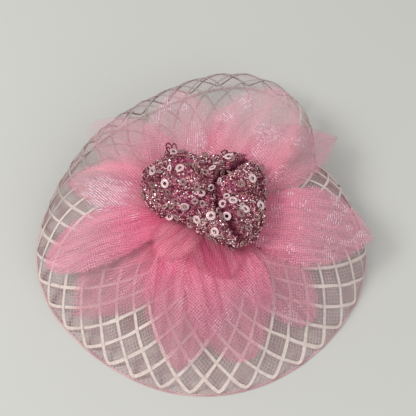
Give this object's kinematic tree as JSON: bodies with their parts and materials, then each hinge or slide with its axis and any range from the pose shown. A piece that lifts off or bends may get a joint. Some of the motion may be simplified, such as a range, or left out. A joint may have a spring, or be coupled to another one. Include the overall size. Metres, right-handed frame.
{
  "type": "fascinator headpiece",
  "caption": "Fascinator headpiece: a gathered crin braid saucer with sheer petals and a sequinned centre, on a felt pad with a sprung hair clip.",
  "frame": {"origin": "on the head-side face of the hair clip's jaw, on the flower's axis", "axes": "+Z out of the flower, away from the head; +X along the hair clip towards its tip; -Y towards the front of the headpiece"},
  "size_m": [0.1608, 0.1645, 0.0532],
  "materials": {
    "nickel": "bright nickel plate",
    "spring_steel": "drawn wire",
    "felt": "pressed wool felt",
    "buckram": "stiff woven button",
    "thread": "twisted sewing thread",
    "crin_net": "fine translucent monofilament net",
    "crin_ribbon": "flat shiny synthetic ribbon",
    "sheer_petal": "sheer plain-weave fabric with a soft sheen",
    "sequin_fabric": "bunched fabric under beads",
    "sequin": "metallised ring sequins and glass seed beads"
  },
  "bodies": {
    "headpiece": {"clip_top_blade": "nickel", "clip_pin": "nickel", "clip_spring": "spring_steel", "felt_pad": "felt", "flower_core": "buckram", "gather_cord": "thread", "crin_net": "crin_net", "crin_ribbons": "crin_ribbon", "sequin_puff": "sequin_fabric", "petal_left_under": "sheer_petal", "petal_right_under": "sheer_petal", "petal_back_right_under": "sheer_petal", "petal_back_left_under": "sheer_petal", "petal_front_left": "sheer_petal", "petal_right": "sheer_petal", "petal_back": "sheer_petal", "petal_front_right": "sheer_petal", "petal_back_right": "sheer_petal", "petal_back_left": "sheer_petal", "petal_left": "sheer_petal", "petal_inner_front": "sheer_petal", "petal_inner_left": "sheer_petal", "ring_sequin_01": "sequin", "ring_sequin_02": "sequin", "ring_sequin_03": "sequin", "ring_sequin_04": "sequin", "ring_sequin_05": "sequin", "ring_sequin_06": "sequin", "ring_sequin_07": "sequin", "ring_sequin_08": "sequin", "ring_sequin_09": "sequin", "ring_sequin_10": "sequin", "ring_sequin_11": "sequin", "ring_sequin_12": "sequin", "ring_sequin_13": "sequin", "ring_sequin_14": "sequin", "clip_stitch_1": "thread", "clip_stitch_2": "thread", "clip_stitch_3": "thread", "clip_stitch_4": "thread"},
    "jaw": {"clip_jaw": "nickel"}
  },
  "joints": [
    {"name": "clip_jaw_hinge", "type": "hinge", "parent": "headpiece", "child": "jaw", "pos_m": [-0.013, 0, 0.0035], "axis": [0, 1, 0], "range_deg": [0, 28], "stiffness_Nm_per_rad": 0.03, "springref_deg": -17.19, "deforming": ["clip_spring"]}
  ]
}
